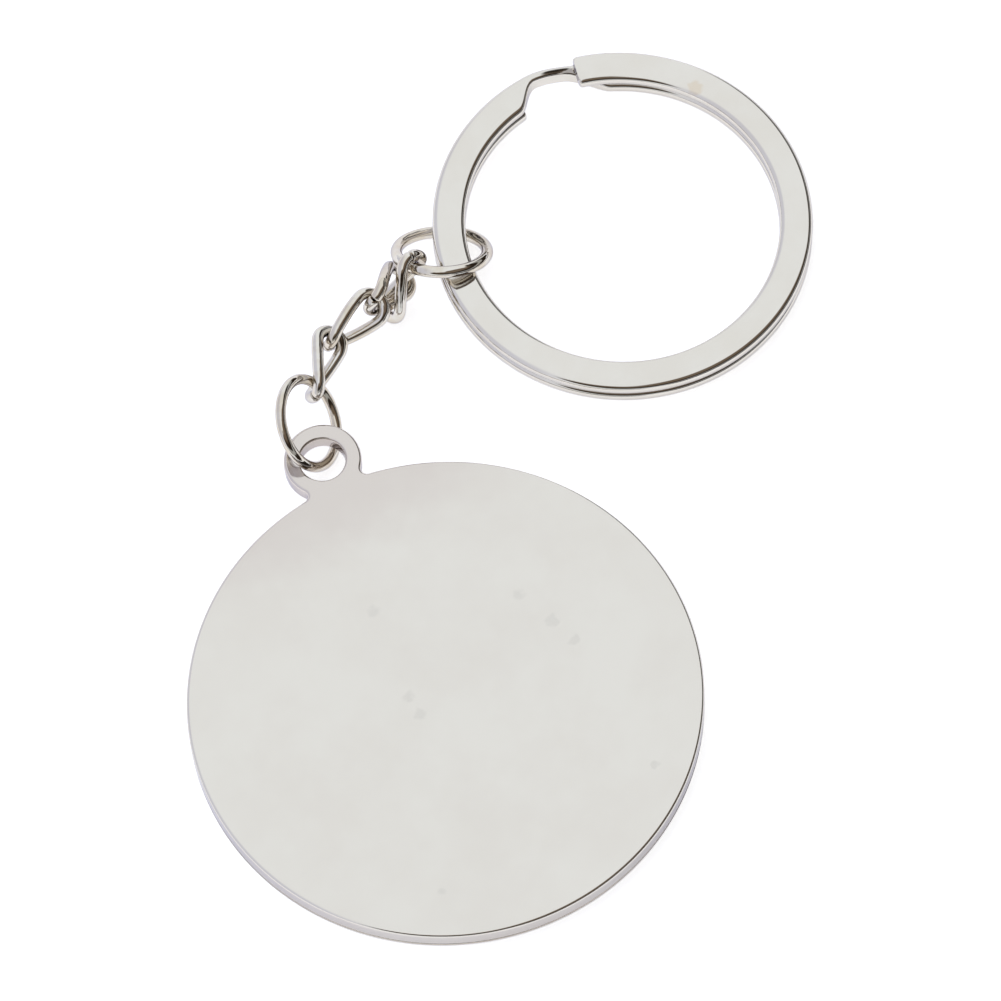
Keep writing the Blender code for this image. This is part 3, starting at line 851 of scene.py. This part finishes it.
def wind_split_ring():
    """Clockwise from the upper free end, down the step, and round again below."""
    whole = 2 * math.tau + UPPER_END - LOWER_END
    end_length = CORNER_ROUND / SPLIT_RADIUS
    ends = [end_length * (1 - math.cos(math.pi / 2 * k / CORNER_STEPS))
            for k in range(CORNER_STEPS)]
    between = whole - 2 * end_length
    ways = ends + [end_length + between * k / BAND_STEPS for k in range(BAND_STEPS + 1)]
    ways += [whole - way for way in reversed(ends)]
    rings = []
    for way in ways:
        angle = UPPER_END - way
        turn = angle + math.tau
        lift = END_LIFT * (1 - ease(way / END_LIFT_ARC))
        low = (BAND_THICKNESS + COIL_GAP) * (1 - ease((STEP_START - turn) / STEP)) + lift
        notch = ease((NOTCH_START - turn) / (NOTCH_START - NOTCH_FULL))
        notch *= ease((turn - NOTCH_END) / (NOTCH_LEAVE - NOTCH_END))
        inner_edge = BAND_EDGE + (NOTCH_EDGE - BAND_EDGE) * notch
        from_end = min(way, whole - way, end_length) / end_length
        shy = CORNER_ROUND * (1 - math.sqrt(1 - (1 - from_end) ** 2))
        near = SPLIT_RADIUS - BAND_WIDTH * (1 - NOTCH_DEPTH_SHARE * notch) + shy
        section = band_section(near, SPLIT_RADIUS - shy, low, inner_edge, NOTCH_SLOPE * notch)
        rings.append([(r * math.cos(angle), r * math.sin(angle), z) for r, z in section])
    return skinned("split_ring_band", rings)


split_ring = wind_split_ring()
print("split ring:", len(split_ring.data.vertices), "points")

# %% [markdown]
# The split ring rests on the card on one side and on the jump ring's wire on the other, so it
# leans by about two and a half degrees. It is placed from the point where the jump ring goes
# round its band. The band's one mark is a small warm smudge, towards the upper right.

# %% Rest it on the upper jump ring
SPLIT_LIFT_SHARE = 1.38
SPLIT_LIFT_HEADING = math.radians(164)
SPLIT_HOLD_ANGLE = math.radians(153.1)
SPLIT_HOLD_SHARE = 0.135
SMUDGE = (0.66, 0.59, 0.50)
SMUDGE_ANGLE = 38
SMUDGE_REACH = 13 * MM
SMUDGE_RADIUS = 0.55 * MM
lean = math.asin(SPLIT_LIFT_SHARE * UPPER_JUMP_WIRE / (2 * SPLIT_RADIUS))
hold = Vector((math.cos(SPLIT_HOLD_ANGLE), math.sin(SPLIT_HOLD_ANGLE), 0))
split_centre = upper_jump.centre + upper_jump.reach(0)
split_centre -= hold * (SPLIT_RADIUS - BAND_WIDTH / 2 + SPLIT_HOLD_SHARE * BAND_WIDTH)
split_centre.z = table_level.z + SPLIT_RADIUS * math.sin(lean)
low_side = Vector((math.sin(SPLIT_LIFT_HEADING), -math.cos(SPLIT_LIFT_HEADING), 0))
split_place = Matrix.LocRotScale(
    split_centre, Matrix.Rotation(lean, 3, low_side), Vector((1, 1, 1)))
shade(split_ring)
dress(split_ring, split_place, band_nickel, "split_ring")
smudge = arc(SMUDGE_REACH, SMUDGE_ANGLE, SMUDGE_ANGLE, 1)[0]
band_top = 2 * BAND_THICKNESS + COIL_GAP
stain_and_painted_shade(band_nickel, split_place @ Vector((*smudge, band_top)), SMUDGE_RADIUS,
      ragged=0.5 * MM, soft=0.4 * MM, tint=SMUDGE)
print("split ring's centre, mm:", [round(v / MM, 2) for v in split_centre])

# %% [markdown]
# ## The card
#
# The keyring lies on white card. Card lit well enough to show pure white would also wash the
# metal out from below. So it is lit like everything else, which keeps its soft shadow, and a
# glow that only the camera and reflections see lifts it to white.

# %% Card
FLOOR_SIZE = 3.0
CARD_GLOW = 0.64
CARD_GAP = 0.02 * MM
FIBRE_SIZE = 0.4 * MM
CARD_TONES = ((0.84, 0.85, 0.88, 1), (0.88, 0.89, 0.92, 1))
floor_mesh = bpy.data.meshes.new("card")
half = FLOOR_SIZE / 2
floor_mesh.from_pydata([(-half, -half, 0), (half, -half, 0), (half, half, 0), (-half, half, 0)],
                       [], [(0, 1, 2, 3)])
floor = bpy.data.objects.new("card", floor_mesh)
floor.location.z = cad_box[0][2] - CARD_GAP
bpy.context.collection.objects.link(floor)
card, card_tree, card_shader = start_material("white_card")
fibres = add_node(card_tree, "ShaderNodeTexNoise", Scale=1 / FIBRE_SIZE, Detail=3.0)
card_tree.links.new(mix_colors(card_tree, fibres.outputs["Fac"], *CARD_TONES),
                    card_shader.inputs["Base Color"])
card_shader.inputs["Roughness"].default_value = 0.9
card_shader.inputs["Specular IOR Level"].default_value = 0
card_rays = card_tree.nodes.new("ShaderNodeLightPath")
seen = math_node(card_tree, "MAXIMUM", card_rays.outputs["Is Camera Ray"],
                 card_rays.outputs["Is Glossy Ray"])
seen = math_node(card_tree, "MAXIMUM", seen, card_rays.outputs["Is Transmission Ray"])
card_shader.inputs["Emission Color"].default_value = (1, 1, 1, 1)
card_tree.links.new(math_node(card_tree, "MULTIPLY", seen, CARD_GLOW),
                    card_shader.inputs["Emission Strength"])
floor_mesh.materials.append(card)
floor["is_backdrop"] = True
print("card at", round(floor.location.z / MM, 2), "mm")

# %% [markdown]
# ## The room
#
# Polished metal is a picture of its surroundings. Lamps could light it, but they would show in
# it as hard shapes with black between them. Here the surroundings are part of the world and
# painted by direction, so they are both the light and what the metal mirrors. Each bright or
# dark place is a cone of directions with a soft edge.

# %% Directions in the room
world = bpy.data.worlds.new("bright_room")
world.use_nodes = True
bpy.context.scene.world = world
sky = world.node_tree
direction = sky.nodes.new("ShaderNodeTexCoord").outputs["Generated"]
right = Vector((math.cos(CAMERA_HEADING), -math.sin(CAMERA_HEADING), 0))
ahead = Vector((math.sin(CAMERA_HEADING), math.cos(CAMERA_HEADING), 0))
up = Vector((0, 0, 1))


def toward(to_right, to_ahead, to_up):
    """A direction given from where the photographer stands."""
    return (right * to_right + ahead * to_ahead + up * to_up).normalized()


def cone(centre, inner, outer):
    """1 inside a cone of directions, falling to 0 at its edge; the angles are in degrees."""
    dot = sky.nodes.new("ShaderNodeVectorMath")
    dot.operation = "DOT_PRODUCT"
    sky.links.new(direction, dot.inputs[0])
    dot.inputs[1].default_value = centre
    spread = add_node(sky, "ShaderNodeMapRange", Value=dot.outputs["Value"])
    spread.interpolation_type = "SMOOTHSTEP"
    spread.inputs["From Min"].default_value = math.cos(math.radians(outer))
    spread.inputs["From Max"].default_value = math.cos(math.radians(inner))
    return spread.outputs["Result"]


def region(direction_from_camera, inner, outer):
    """A cone round a direction that is given from where the photographer stands."""
    return cone(toward(*direction_from_camera), inner, outer)


print("ahead is", [round(v, 2) for v in toward(0, 1, 0)])

# %% [markdown]
# The room is bright above, pale lavender on the left, and dark on the right and in front,
# where the photographer stands: the reflections of those dark places are the lines that give
# polished metal its shape. The dark is a warm brown higher up, and a dim strip of light runs
# round the room a little above the table, so that the flat faces stay metal grey, not black,
# when they are seen from low down behind. The camera itself sees plain white.

# %% Paint the room
# Each region: its direction to the right, ahead and up, then the angles between which it fades
DARK_ON_THE_RIGHT = ((0.85, 0.50, 0.10), 35, 41)
DARK_NEAR_RIGHT = ((0.75, -0.42, 0.46), 44, 51)
DARK_BEHIND_CAMERA = ((-0.02, -0.83, 0.56), 22, 30)
LEFT_WALL = ((-1, 0.1, 0.15), 45, 75)
# The strip of light lies between two cones round the zenith
STRIP_LOW_EDGE = (76, 80)
STRIP_HIGH_EDGE = (67, 71)
STRIP_STRENGTH = 0.42
BROWN_FADES = (42, 58)
WHITE = (1.06, 1.10, 1.14, 1)
LAVENDER = (0.80, 0.82, 0.94, 1)
NEARLY_BLACK = (0.03, 0.022, 0.016, 1)
WARM_BROWN = (0.20, 0.155, 0.12, 1)

dark = math_node(sky, "MAXIMUM", region(*DARK_ON_THE_RIGHT), region(*DARK_NEAR_RIGHT))
dark = math_node(sky, "MAXIMUM", dark, region(*DARK_BEHIND_CAMERA))
strip = math_node(sky, "SUBTRACT", cone(up, *STRIP_LOW_EDGE), cone(up, *STRIP_HIGH_EDGE))
unlit = math_node(sky, "SUBTRACT", 1, math_node(sky, "MULTIPLY", strip, STRIP_STRENGTH))
dark = math_node(sky, "MULTIPLY", dark, unlit)
bright = mix_colors(sky, region(*LEFT_WALL), WHITE, LAVENDER)
gloom = mix_colors(sky, cone(up, *BROWN_FADES), NEARLY_BLACK, WARM_BROWN)
room = mix_colors(sky, dark, bright, gloom)
rays = sky.nodes.new("ShaderNodeLightPath")
shown = mix_colors(sky, rays.outputs["Is Camera Ray"], room, (1, 1, 1, 1))
sky.links.new(shown, sky.nodes["Background"].inputs["Color"])
print("room:", len(sky.nodes), "nodes")

# %% [markdown]
# ## Finish
#
# The sizes of the imported model and of the dressed one are printed, to show how closely
# the finer pieces keep to the imported box: finer facets may pass coarser ones by a few
# hundredths of a millimetre.

# %% Finish
sizes = {"cad": [list(corner) for corner in cad_box],
         "visual": [list(corner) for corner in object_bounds()]}
for name, (low, high) in sizes.items():
    print(name, "size, mm:", [round((b - a) / MM, 2) for a, b in zip(low, high)])
